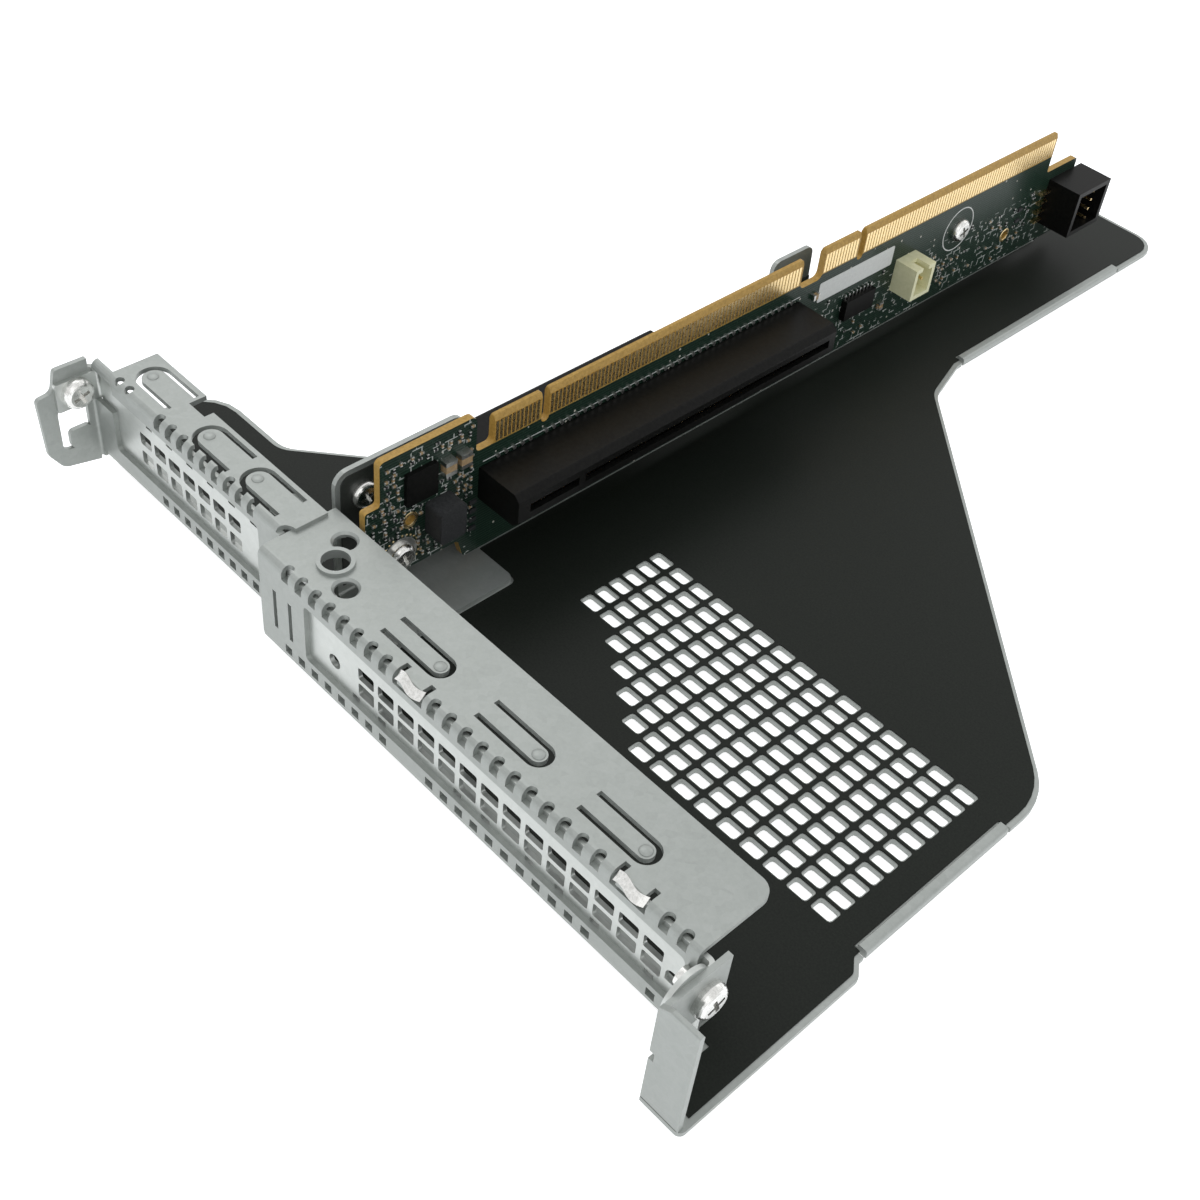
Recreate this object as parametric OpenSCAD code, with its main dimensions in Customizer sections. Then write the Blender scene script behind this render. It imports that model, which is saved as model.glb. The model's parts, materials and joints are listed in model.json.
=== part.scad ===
// Riser cage bracket for a rack server: a folded sheet-metal base that carries two
// expansion-slot bulkheads, an upright wall and the riser board screwed to it.
// Axes: X runs along the bulkheads, Y runs back along the riser board, Z is up.
// Origin: the underside of the base plate, below the board's component face (X = 0) at
// the first contact of its first edge connector (Y = 0).

/* [Sheet metal] */
// Thickness of every galvanised steel sheet
sheet_t = 1; // [0.8:0.1:1.5]
// Inside radius of every bend
bend_r = 0.6; // [0.3:0.1:1]
// Thickness of the black insulating film
film_t = 0.2; // [0.1:0.05:0.4]
// Clearance from the film's edge to the steel beside it
film_gap = 0.4; // [0.2:0.1:0.8]
// Bare margin of steel that the film leaves along a plain edge
film_margin = 1.1; // [0.6:0.1:2]
// Width of the folded rim along the straight outer edges
rim_w = 2; // [1.5:0.1:3]
// Height of the folded rim above the plate
rim_h = 0.8; // [0.4:0.1:1.2]

/* [Base plate] */
// Distance from the first contact back to the rear edge
plate_back = 212; // [200:1:240]
// Right edge of the long strip below the riser board
strip_right = 19; // [16:0.5:24]
// Left edge of the long strip, behind the board
strip_left = 16; // [14:0.5:22]
// Radius of the strip's rear corners
strip_corner_r = 6.5; // [2:0.5:9]
// Rear corner of the wing, where the slanted edge begins
waist_y = 112.4; // [100:0.2:125]
// Straight length of the strip edge between the slanted edge and the rim
waist_straight = 14; // [8:1:25]
// Right edge of the wing
wing_right = 107.8; // [100:0.2:125]
// Where the slanted edge meets the wing's right edge
wing_corner_y = 36; // [25:1:50]
// Radius of that corner
wing_corner_r = 14; // [4:1:20]
// Front end of the wing's rim
wing_rim_front = -13.6; // [-20:0.2:-5]
// Length of the rim on the wing's right edge
wing_rim_len = 39; // [20:1:45]
// How far the front ear stands out past the wing
ear_out = 2; // [1:0.2:4]
// Front of the ear, at the outer face of its upturned tab
ear_front = -58; // [-62:0.5:-54]
// Left edge of the wing under the low-profile bulkhead
lp_wing_left = -75.4; // [-80:0.2:-72]
// Rear edge of that wing
lp_wing_back = -12.3; // [-20:0.1:-8]
// Radius of that wing's rear corner
lp_wing_r = 10; // [4:0.5:12]
// Where the slanted edge leaves that wing
lp_slant_x = -52; // [-56:0.5:-45]

/* [Vent grid] */
// Number of hole columns, along X
vent_cols = 15; // [4:1:15]
// Number of hole rows, along Y
vent_rows = 11; // [2:1:11]
// Rows that run the whole width, counted from the rear
vent_full_rows = 6; // [1:1:8]
// Column pitch
vent_pitch_x = 5.37; // [5:0.01:5.5]
// Row pitch
vent_pitch_y = 3.73; // [3.4:0.01:3.9]
// Hole size along X
vent_w = 4; // [2:0.1:4.2]
// Hole size along Y
vent_d = 2.6; // [1.6:0.1:2.7]
// Corner radius of a hole
vent_r = 0.6; // [0.2:0.1:0.7]
// Left edge of the first column
vent_x = 20.7; // [16:0.1:24]
// Rear edge of the first row
vent_y = 26.75; // [15:0.05:30]

/* [Front ear] */
// Height of the upturned tab
tab_h = 27; // [24:0.5:32]
// Left face of the ear and of the screw ledge
ledge_x = 101.46; // [99.5:0.02:104]
// Lower edge of the screw ledge
ledge_low = 14.2; // [11:0.2:15]
// Upper edge of the screw ledge
ledge_high = 25.5; // [24:0.1:28]
// Rear end of the screw ledge
ledge_back = -44; // [-45:0.5:-40]

/* [Full-height bulkhead] */
// Left end of the bulkhead
fh_left = -7; // [-9:0.5:-5]
// Right end of the bulkhead
fh_right = 99; // [97:0.1:100.4]
// Outer face of its front wall
fh_front = -47.3; // [-49:0.1:-45]
// Height of its upper face
fh_top = 25.1; // [24:0.1:28]
// Depth of its upper flange
fh_flange = 16.6; // [12:0.2:18]
// Depth of both bulkheads' lower flanges
foot_d = 7; // [5.5:0.5:9]
// Outside radius of both bulkheads' lower bends
foot_bend = 3.8; // [2.5:0.1:4.4]
// Left end of the window in its front wall
fh_window_left = 5.9; // [2:0.1:10]
// Distance from the window's right end to the bulkhead's end
fh_window_end = 2; // [1.5:0.1:4]
// Lower edge of both windows
window_low = 7.9; // [7.2:0.1:9]
// Upper edge of both windows
window_high = 21; // [19:0.1:21.5]
// Left bound of the first of its U slots
u_slot_x = 21.6; // [18:0.2:24]
// Distance between its U slots
u_slot_pitch = 23.75; // [18:0.05:25]
// Length of its U slots
u_slot_len = 15; // [10:0.5:16]
// Width over the legs of its U slots
u_slot_w = 5.3; // [4:0.1:7]
// Width of the cut of every U slot
u_cut = 1.1; // [0.8:0.1:1.4]
// Diameter of the countersunk holes
csk_bore = 4.2; // [3:0.1:4.6]
// Diameter of the collared hole
collar_bore = 5.2; // [4:0.1:5.6]

/* [Low-profile bulkhead] */
// Outer face of the screw ear at its left end
lp_ear_x = -69.5; // [-72:0.1:-66]
// Right end of the bulkhead
lp_right = -6; // [-6.5:0.1:-4]
// Outer face of its front wall
lp_front = -42.5; // [-44:0.1:-40]
// Height of its upper face
lp_top = 25.9; // [25.3:0.1:29]
// Depth of its upper flange
lp_flange = 11.3; // [9:0.1:12]
// Left edge of its upper flange
lp_flange_left = -62.5; // [-66:0.5:-60]
// How far the ear stands forward of the front wall
lp_ear_d = 12.8; // [11:0.2:15]
// Left end of the window in its front wall
lp_window_left = -62; // [-64:0.5:-58]
// Right end of that window
lp_window_right = -14; // [-20:0.5:-12]
// Width of the ear window
ear_window_d = 6.3; // [4:0.1:7]
// Height of the ear window
ear_window_h = 10.4; // [6:0.2:11]

/* [Springs and bend slots] */
// Pitch of the slots over the bends
slot_pitch = 3.8; // [3:0.05:4]
// Width of those slots
slot_w = 1.9; // [1:0.1:2.2]
// How far a slot runs down the front wall
slot_run = 2.6; // [1.8:0.1:3]
// How far a slot runs onto the flange, without its round end
slot_reach = 1.1; // [0.6:0.1:2]
// Height of the slots above the lower bend
low_slot_h = 1.9; // [1:0.1:2.2]
// Width of a contact spring
spring_w = 5; // [3:0.1:6]
// Cut on both sides of a contact spring
spring_cut = 1.2; // [0.8:0.1:1.6]

/* [Slot covers] */
// Width of an expansion-slot cover
cover_w = 18.42; // [17:0.02:18.6]
// Thickness of an expansion-slot cover
cover_t = 0.86; // [0.6:0.02:1.2]
// Height of the cover's lower edge
cover_low = 5.2; // [3.5:0.1:5.4]
// Length of the low-profile cover
lp_cover_len = 79.2; // [72:0.1:82]
// Width of the covers' narrow tongues
tongue_w = 10.2; // [6:0.1:12]
// Length of those tongues
tongue_len = 5; // [3:0.1:7]
// Depth of the bent tab, from the cover's front face
cover_tab = 10.6; // [8:0.1:11.4]
// Vent holes in each row of the full-height cover
fh_holes = 14; // [4:1:14]
// Pitch of those holes
fh_hole_pitch = 5.28; // [4.8:0.01:5.4]
// Vent holes in each row of the low-profile cover
lp_holes = 7; // [2:1:7]
// Pitch of those holes
lp_hole_pitch = 4.85; // [4.4:0.01:5]
// Bars left between two neighbouring vent holes
hole_bar = 1.1; // [0.6:0.1:1.6]
// Height of an upper vent hole
hole_high = 2.8; // [1.5:0.1:3.2]
// Height of a lower vent hole
hole_low = 3; // [1.5:0.1:3.4]

/* [Riser wall] */
// Gap between the board's solder side and the wall
wall_gap = 6.43; // [5:0.05:9]
// Top of the front post
post_top = 31; // [27:0.5:33]
// Top of the middle post
mid_post_top = 29.8; // [26:0.2:32]
// Top of the low stretches of the wall
wall_low = 12; // [9:0.5:14]
// Front end of the wall
wall_front = -30; // [-30.5:0.5:-28]
// Rear end of the wall
wall_back = 186; // [160:1:190]
// Right edge of the wide front part of the wall's foot
foot_pad_x = 8.8; // [4:0.1:12]
// Rear end of that wide part
foot_pad_back = -1; // [-6:0.2:0]

/* [Riser board] */
// Board thickness
board_t = 1.57; // [1.2:0.01:2]
// Height of the contact tips above the plate's underside
tip_z = 35.2; // [33:0.1:38]
// Lower edge of the board
board_low = 4.4; // [3.6:0.1:6]
// Lower edge of its front part
board_step = 9.2; // [7:0.1:11]
// Front end of the board
board_front = -29.6; // [-30:0.1:-28]
// Rear end of the board
board_back = 190.5; // [182:0.5:200]
// Length of the tongue before the key notch
short_tongue = 11.65; // [11.65:0.01:11.65]
// Width of the key notch
key_w = 1.9; // [1.5:0.1:2]
// Length of the tongue after the key notch
long_tongue = 71.65; // [71.65:0.01:71.65]
// Gap between the two edge connectors
tongue_gap = 7.1; // [4:0.1:10]
// Contact pitch
contact_pitch = 1; // [1:0.1:1]
// Width of one gold contact
contact_w = 0.7; // [0.4:0.05:0.8]
// Height of the gold contacts
contact_h = 4.6; // [3:0.1:5]
// Thickness of the gold contacts
contact_t = 0.05; // [0.04:0.01:0.1]

/* [Sockets] */
// Length of the sixteen-lane socket
socket_len = 89; // [89:0.5:89]
// Height of a socket above the board
socket_h = 11.25; // [10:0.05:12]
// Width of a socket
socket_w = 7.5; // [6.5:0.1:8.5]
// Height of the socket's centre line above the plate's underside
socket_z = 21.25; // [19:0.05:22]
// Front end of the sixteen-lane socket
socket_y = -3.4; // [-4:0.1:-2]
// Width of the card slit
slit_w = 1.9; // [1.7:0.05:2.2]
// Depth of the card slit
slit_d = 8.2; // [6:0.1:9]
// Length of the eight-lane socket on the solder side
rear_socket_len = 56; // [56:0.5:56]

/* [Fasteners] */
// Thread diameter of the board screws
board_screw_d = 3; // [2.5:0.1:3.5]
// Head diameter of the board screws
board_head_d = 5.6; // [4.5:0.1:6.5]
// Head height of the board screws
board_head_h = 1.8; // [1.2:0.1:2.4]
// Thread diameter of the cover screws
cover_screw_d = 3.5; // [2.5:0.1:3.6]
// Head diameter of the cover screws
cover_head_d = 6.4; // [5:0.1:7]
// Head height of the cover screws
cover_head_h = 2.2; // [1.5:0.1:3]
// Clearance of a screw in its hole
screw_fit = 0.2; // [0.1:0.05:0.4]
// Width across the flats of the standoffs
standoff_af = 5.5; // [4.5:0.1:6.5]

/* [Hidden] */

$fn = 32;
// Overshoot of a cut past the face it goes through
eps = 0.1;
// Flat steps in each rounded corner of an outline
corner_steps = 5;
// Flat steps in each corner of a vent hole
vent_steps = 2;

steel = [0.66, 0.68, 0.66];
bright_steel = [0.78, 0.79, 0.79];
film_black = [0.06, 0.07, 0.07];
board_green = [0.05, 0.22, 0.12];
gold = [0.85, 0.68, 0.3];
black_plastic = [0.07, 0.07, 0.08];
cream = [0.88, 0.84, 0.72];

// Heights and planes that several pieces share
plate_top = sheet_t;
// The plate's front edge lies behind the bulkheads' lower bends
plate_setback = foot_bend - 0.8;
film_top = plate_top + film_t;
foot_top = plate_top + sheet_t;
bend_outer = bend_r + sheet_t;
fh_inner = fh_front + fh_flange;
lp_inner = lp_front + lp_flange;
ear_right = wing_right + ear_out;
cover_high = cover_low + cover_w;
fh_cover_y = fh_front + sheet_t;
lp_cover_y = lp_front + sheet_t;
fh_window_right = fh_right - fh_window_end;
board_back_x = -board_t;
wall_x = board_back_x - wall_gap;
wall_back_x = wall_x - sheet_t;
wall_foot_x = -2.6;
strip_edge_x = strip_right - rim_w;
first_end = short_tongue + key_w + long_tongue;
second_start = first_end + tongue_gap;
second_end = second_start + first_end;
socket_end = socket_y + socket_len;
header_y = second_end + 2.5;
notch_z = tip_z - 7.2;
board_top = tip_z + 2.2;
board_shoulder = tip_z - 10.6;
ledge_screw = [-48.6, 19.6];
ear_screw = [-46.4, 20.6];
board_screw_sites = [[-21.8, 13.6], [143.1, 21.5]];
wall_screw_site = [-24, 24.4];

// ---------- outline helpers ----------

function unit(v) = v / norm(v);

// Points of the arc that rounds corner b between a and c
function fillet(a, b, c, r, n) =
    let (u = unit(a - b), v = unit(c - b), half = acos(u * v) / 2)
    r <= 0 ? [b] :
    let (mid = b + unit(u + v) * r / sin(half),
         first = b + u * r / tan(half) - mid,
         last = b + v * r / tan(half) - mid,
         from = atan2(first[1], first[0]),
         turn = atan2(last[1], last[0]) - from,
         sweep = turn > 180 ? turn - 360 : turn < -180 ? turn + 360 : turn)
    [for (i = [0 : n]) mid + r * [cos(from + sweep * i / n), sin(from + sweep * i / n)]];

// Closed outline from corners given as [x, y, radius]
function rounded(corners, n = corner_steps) =
    let (m = len(corners), xy = [for (c = corners) [c[0], c[1]]])
    [for (i = [0 : m - 1])
        each fillet(xy[(i + m - 1) % m], xy[i], xy[(i + 1) % m], corners[i][2], n)];

// Corners of a rectangle with one radius
function box_corners(x0, x1, y0, y1, r) =
    [[x0, y0, r], [x1, y0, r], [x1, y1, r], [x0, y1, r]];

module rounded_box(x0, x1, y0, y1, r, n = corner_steps) {
    polygon(rounded(box_corners(x0, x1, y0, y1, r), n));
}

// Extrudes a (Y, Z) profile from x0 to x1
module along_x(x0, x1) {
    translate([x0, 0, 0]) rotate([90, 0, 90]) linear_extrude(x1 - x0) children();
}

// Extrudes an (X, Z) profile from y0 to y1
module along_y(y0, y1) {
    translate([0, y1, 0]) rotate([90, 0, 0]) linear_extrude(y1 - y0) children();
}

// Extrudes an (X, Y) profile from z0 to z1
module along_z(z0, z1) {
    translate([0, 0, z0]) linear_extrude(z1 - z0) children();
}

module block(x0, x1, y0, y1, z0, z1) {
    translate([x0, y0, z0]) cube([x1 - x0, y1 - y0, z1 - z0]);
}

// Cylinder along X from x0 to x1 at [y, z]
module rod_x(x0, x1, at, d) {
    translate([x0, at[0], at[1]]) rotate([0, 90, 0]) cylinder(h = x1 - x0, d = d);
}

// ---------- base plate ----------

// Plan outline of the plate; inset moves the plain edges inward for the film
function plate_outline(inset) = rounded([
    [-strip_left + inset, plate_back - inset, strip_corner_r - inset],
    [-strip_left + inset, -lp_slant_x / 2 - 6, 3],
    [lp_slant_x + 2, lp_wing_back - inset, 6],
    [lp_wing_left + inset, lp_wing_back - inset, lp_wing_r - inset],
    [lp_wing_left + inset, lp_front + plate_setback, 2],
    [fh_left, lp_front + plate_setback, 0],
    [fh_left, fh_front + plate_setback, 0],
    [ledge_x + inset, fh_front + plate_setback, 0],
    [ledge_x + inset, ear_front + inset, 0],
    [ear_right - inset, ear_front + inset, inset > 0 ? 0.5 : 1.2],
    [ear_right - inset, wing_rim_front - 4, 1.5],
    [wing_right - inset, wing_rim_front - 1.5, 1],
    [wing_right - inset, wing_corner_y, wing_corner_r],
    [strip_right - inset + 4, waist_y + 1, 8],
    [strip_right - inset, waist_y + waist_straight, 1],
    [strip_right - inset, plate_back - inset, strip_corner_r - inset]
]);

// Folded rim along a right-hand edge: a strip of sheet with a round outer edge
module rim(edge_x, y0, y1) {
    top = plate_top + rim_h;
    along_y(y0, y1)
        polygon(rounded([
            [edge_x - rim_w, 0.2, 0],
            [edge_x, 0, 0.7],
            [edge_x, top, 0.7],
            [edge_x - rim_w, top, 0.3]
        ]));
}

// Calls its children at each vent; the front rows start further right
module vent_lattice() {
    for (row = [0 : vent_rows - 1])
        let (skip = row < vent_full_rows ? 0 : row - vent_full_rows + 2)
            for (col = [skip : 1 : vent_cols - 1])
                translate([vent_x + col * vent_pitch_x, vent_y - row * vent_pitch_y])
                    children();
}

module vent(grow) {
    translate([0, -vent_d])
        rounded_box(-grow, vent_w + grow, -grow, vent_d + grow, vent_r, vent_steps);
}

module cage_plate() {
    color(steel) {
        difference() {
            along_z(0, plate_top)
                difference() {
                    polygon(plate_outline(0));
                    vent_lattice() vent(0);
                }
            // Relief slits at the ends of the two rims
            for (end = [wing_rim_front, wing_rim_front + wing_rim_len])
                block(wing_right - rim_w - 0.4, wing_right + eps, end - 0.35, end + 0.35,
                      -eps, plate_top + eps);
            for (end = [waist_y + waist_straight + 2, plate_back - 19])
                block(strip_edge_x - 0.4, strip_right + eps, end - 0.35, end + 0.35,
                      -eps, plate_top + eps);
        }
        rim(wing_right, wing_rim_front + 0.35, wing_rim_front + wing_rim_len - 0.35);
        rim(strip_right, waist_y + waist_straight + 2.35, plate_back - 19.35);
        ear_tab();
    }
}

// Tab folded up at the front of the ear, with the screw ledge folded from its left edge
module ear_tab() {
    difference() {
        union() {
            along_x(ledge_x, ear_right - 0.6)
                polygon(rounded([
                    [ear_front + bend_outer + 1, 0, 0],
                    [ear_front, 0, bend_outer],
                    [ear_front, tab_h, 0.3],
                    [ear_front + sheet_t, tab_h, 0.3],
                    [ear_front + sheet_t, plate_top, bend_r],
                    [ear_front + bend_outer + 1, plate_top, 0]
                ]));
            along_z(ledge_low, ledge_high)
                polygon(rounded([
                    [ledge_x, ledge_back, 0],
                    [ledge_x, ear_front, bend_outer],
                    [ledge_x + bend_outer + 1, ear_front, 0],
                    [ledge_x + bend_outer + 1, ear_front + sheet_t, 0],
                    [ledge_x + sheet_t, ear_front + sheet_t, bend_r],
                    [ledge_x + sheet_t, ledge_back, 0]
                ]));
        }
        rod_x(ledge_x - eps, ledge_x + sheet_t + eps, ledge_screw, cover_screw_d + screw_fit);
        // Sloped upper corner at the left of the tab
        along_y(ear_front - eps, ear_front + sheet_t + eps)
            polygon([[ledge_x - eps, ledge_high], [ledge_x + 2.5, tab_h + eps],
                     [ledge_x - eps, tab_h + eps]]);
        // Relief between the ledge's fold and the plate
        block(ledge_x - eps, ledge_x + 1, ear_front - eps, ear_front + sheet_t + eps,
              ledge_low - 2, ledge_low);
    }
}

// ---------- insulating film ----------

module insulating_film() {
    color(film_black)
        along_z(plate_top, film_top)
            difference() {
                polygon(plate_outline(film_margin));
                vent_lattice() vent(0.25);
                // Clear of the rims
                translate([wing_right - rim_w - film_gap, wing_rim_front])
                    square([rim_w + film_gap + eps, wing_rim_len]);
                translate([strip_edge_x - film_gap, waist_y + waist_straight + 2])
                    square([rim_w + film_gap + eps, plate_back - 21 - waist_y - waist_straight]);
                // Clear of the bulkheads' lower flanges
                translate([fh_left - film_gap, fh_front])
                    square([fh_right - fh_left + 2 * film_gap, foot_d + film_gap]);
                translate([lp_wing_left, lp_front])
                    square([fh_left - lp_wing_left + 2, foot_d + film_gap]);
                // Clear of the ear's bend and of the wall's foot
                translate([ledge_x, ear_front])
                    square([ear_right - ledge_x, bend_outer + 1.4]);
                wall_plan(film_gap);
            }
}

// ---------- bulkheads ----------

// Channel of bent sheet: lower flange, front wall and upper flange
module channel_profile(front, top, flange) {
    polygon(rounded([
        [front + flange, top, 0],
        [front, top, bend_outer],
        [front, plate_top, foot_bend],
        [front + foot_d, plate_top, 0],
        [front + foot_d, foot_top, 0],
        [front + sheet_t, foot_top, foot_bend - sheet_t],
        [front + sheet_t, top - sheet_t, bend_r],
        [front + flange, top - sheet_t, 0]
    ]));
}

// Slot across the upper bend: round end on the flange, square end on the wall
module upper_bend_slot(x, front, top) {
    block(x - slot_w / 2, x + slot_w / 2, front - eps, front + slot_reach,
          top - slot_run, top + eps);
    translate([x, front + slot_reach, top - slot_run])
        cylinder(h = slot_run + eps, d = slot_w);
}

// Slot just above the lower bend
module lower_bend_slot(x, front) {
    high = window_low - 1.2;
    block(x - slot_w / 2, x + slot_w / 2, front - eps, front + sheet_t + eps,
          high - low_slot_h, high);
}

// Cut round a contact spring that hangs from the flange over the upper bend
module spring_cuts(x, front, top) {
    side = spring_w / 2 + spring_cut;
    low = top - slot_run;
    for (s = [-1, 1])
        block(x + s * (side + spring_w / 2) / 2 - spring_cut / 2,
              x + s * (side + spring_w / 2) / 2 + spring_cut / 2,
              front - eps, front + slot_reach + 2, low, top + eps);
    block(x - side, x + side, front - eps, front + sheet_t + eps, low, low + 0.8);
}

// U-shaped cut that frees a tongue of the flange; its round end points to +X
module u_slot(len, width) {
    r = width / 2;
    difference() {
        union() {
            translate([0, -r]) square([len - r, width]);
            translate([len - r, 0]) circle(d = width);
        }
        translate([-eps, -r + u_cut]) square([len - r + eps, width - 2 * u_cut]);
        translate([len - r, 0]) circle(d = width - 2 * u_cut);
    }
}

module fh_bulkhead() {
    flange_slots = -40.6;
    left_group = [for (i = [0 : 7]) 0.7 + i * slot_pitch];
    mid_group = [for (i = [0 : 10]) 39.6 + i * slot_pitch];
    right_group = [for (i = [0 : 1]) 92 + i * slot_pitch];
    springs = [33.7, 84.6];
    color(steel)
        difference() {
            union() {
                along_x(fh_left, fh_right)
                    channel_profile(fh_front, fh_top, fh_flange);
                // Lap under the neighbouring bulkhead's flange
                along_z(lp_top - 2 * sheet_t, lp_top - sheet_t)
                    rounded_box(fh_left - 8, fh_left + 10, -40, -33.2, 2);
                // Collar drawn up round the middle hole
                translate([4.4, -39.2, fh_top - sheet_t])
                    cylinder(h = sheet_t + 0.7, d = collar_bore + 1.6);
            }
            // Front window
            along_y(fh_front - eps, fh_front + sheet_t + eps)
                rounded_box(fh_window_left, fh_window_right, window_low, window_high, 1);
            // Slits either side of the bridge at the left end
            for (x = [-3.2, 1.2])
                block(x, x + 1, fh_front - eps, fh_front + sheet_t + eps,
                      window_low + 1, window_high - 3);
            for (x = concat(left_group, mid_group, right_group)) {
                upper_bend_slot(x, fh_front, fh_top);
                lower_bend_slot(x, fh_front);
            }
            for (x = springs)
                spring_cuts(x, fh_front, fh_top);
            along_z(fh_top - sheet_t - eps, fh_top + eps) {
                for (i = [0 : 2])
                    translate([u_slot_x + i * u_slot_pitch, flange_slots])
                        u_slot(u_slot_len, u_slot_w);
            }
            // Countersunk holes and the collared hole
            for (at = [[0.9, -34.6], [10.3, -41.5]]) {
                translate([at[0], at[1], fh_top - 3])
                    cylinder(h = 4, d = csk_bore);
                translate([at[0], at[1], fh_top - 0.5])
                    cylinder(h = 0.5 + eps, d1 = csk_bore, d2 = csk_bore + 1);
            }
            translate([4.4, -39.2, fh_top - 3])
                cylinder(h = 5, d = collar_bore);
            // Rounded rear corner of the flange at the right end
            along_z(fh_top - sheet_t - eps, fh_top + eps)
                difference() {
                    translate([fh_right - 3, fh_inner - 3]) square(3 + eps);
                    translate([fh_right - 3, fh_inner - 3]) circle(r = 3);
                }
        }
}

module lp_bulkhead() {
    slot_row = [for (i = [0 : 8]) -45.6 + i * slot_pitch * 0.97];
    color(steel) {
        difference() {
            along_x(lp_ear_x + bend_outer, lp_right)
                channel_profile(lp_front, lp_top, lp_flange);
            // The flange stops short of the ear
            block(lp_ear_x - eps, lp_flange_left, lp_front + bend_outer, lp_inner + eps,
                  lp_top - 3 * sheet_t, lp_top + eps);
            along_y(lp_front - eps, lp_front + sheet_t + eps)
                rounded_box(lp_window_left, lp_window_right, window_low, window_high + 1, 1);
            for (x = slot_row) {
                upper_bend_slot(x, lp_front, lp_top);
                lower_bend_slot(x, lp_front);
            }
            for (x = [-59.5, -56.2])
                translate([x, lp_front + 1.2, lp_top - 2])
                    cylinder(h = 3, d = slot_w);
            along_z(lp_top - sheet_t - eps, lp_top + eps) {
                for (at = [[-46.8, -35.8], [-25.8, -37.4], [-10.8, -37.4]])
                    translate(at) mirror([1, 0]) u_slot(13, 7);
                // Step back along the rear edge
                translate([-46, lp_inner - 3.8]) square([5, 3.8 + eps]);
                translate([-41 - eps, lp_inner - 1.8]) square([50, 1.8 + eps]);
                // Half-round notch at the right end
                translate([lp_right, -42.4]) circle(r = 2.5);
            }
            // The front wall gives way to the full-height bulkhead's flange
            block(fh_left - 0.4, lp_right + eps, lp_front - eps, lp_front + bend_outer,
                  plate_top - eps, lp_top - sheet_t + eps);
            block(fh_left - 0.4, lp_right + eps, lp_front - eps, lp_front + foot_d + eps,
                  plate_top - eps, foot_top + eps);
            // Room for the slot cover's bent tab beside the ear
            block(lp_ear_x + sheet_t - eps, lp_window_left + 1, lp_front - eps,
                  lp_front + bend_outer, window_low + 9, lp_top - bend_outer);
        }
        lp_ear();
    }
}

// Screw ear folded forward from the left end of the low-profile bulkhead
module lp_ear() {
    face = lp_ear_x + sheet_t;
    back = lp_front + sheet_t;
    difference() {
        union() {
            along_x(lp_ear_x, face)
                polygon(rounded([
                    [back - bend_outer + 0.2, 1.7, 0],
                    [back - 9.5, 3.4, 3],
                    [back - lp_ear_d + 0.6, 7.6, 2],
                    [back - lp_ear_d, 21.2, 1],
                    [back - 9.4, 21.6, 1.6],
                    [back - 8.3, lp_top + 0.5, 0.8],
                    [back - bend_outer + 0.2, lp_top + 0.4, 0]
                ]));
            // Bend from the front wall into the ear
            along_z(2.6, lp_top - bend_outer)
                polygon(rounded([
                    [lp_ear_x + bend_outer + 0.2, back, 0],
                    [lp_ear_x, back, bend_outer],
                    [lp_ear_x, back - bend_outer, 0],
                    [face, back - bend_outer, 0],
                    [face, back - sheet_t, bend_r],
                    [lp_ear_x + bend_outer + 0.2, back - sheet_t, 0]
                ]));
        }
        along_x(lp_ear_x - eps, face + eps)
            difference() {
                rounded_box(back - 2.7 - ear_window_d, back - 2.7, 7.1, 7.1 + ear_window_h, 1.6);
                rounded_box(back - 7.2, back - 2.5, 7, 11.2, 1);
            }
        rod_x(lp_ear_x - eps, face + eps, ear_screw, cover_screw_d);
    }
}

// ---------- slot covers ----------

// Row of rectangular vent holes in the (X, Z) plane
module hole_row(x, count, pitch, z, height) {
    for (i = [0 : count - 1])
        translate([x + i * pitch, z])
            rounded_box(0, pitch - hole_bar, 0, height, 0.4, vent_steps);
}

module fh_slot_cover() {
    left = fh_left + 2;
    low = cover_low;
    face = ledge_x - cover_t;
    color(bright_steel) {
        along_y(fh_cover_y, fh_cover_y + cover_t)
            difference() {
                polygon(rounded([
                    [left, low + (cover_w - tongue_w) / 2, 1],
                    [left, low + (cover_w + tongue_w) / 2, 1],
                    [left + tongue_len, low + (cover_w + tongue_w) / 2, 0.5],
                    [left + tongue_len, cover_high, 1],
                    [ledge_x - cover_t - bend_r, cover_high, 0],
                    [ledge_x - cover_t - bend_r, low, 0],
                    [left + tongue_len, low, 1],
                    [left + tongue_len, low + (cover_w - tongue_w) / 2, 0.5]
                ]));
                hole_row(19.6, fh_holes, fh_hole_pitch, low + 8.6, hole_high);
                hole_row(19.6, fh_holes, fh_hole_pitch, low + 4.6, hole_low);
                translate([13, low + 7.3]) circle(d = 3);
                translate([94.8, low + 7.2]) circle(d = 3);
                translate([93.3, low + 5.7]) square([3, 1.6]);
                // Pairs of small windows for the springs' points
                for (x = [18.9, 25.9, 45.7, 52.7, 63.3, 70.3, 78.4, 90.3]) {
                    translate([x - 1, low + 14.1]) square([2, 2.5]);
                    translate([x - 1, low + 2.1]) square([2, 1.6]);
                }
            }
        cover_bend(face, fh_cover_y, low, cover_high);
        // Bent tab with its raised lobe and screw notch
        difference() {
            along_x(face, ledge_x)
                union() {
                    rounded_box(fh_cover_y - cover_tab + 1, fh_cover_y - bend_r, low + 8, cover_high, 0.4);
                    translate([fh_cover_y - 5.6, cover_high - 1]) circle(r = 4.6);
                }
            rod_x(face - eps, ledge_x + eps, ledge_screw, cover_screw_d);
        }
    }
}

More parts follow.
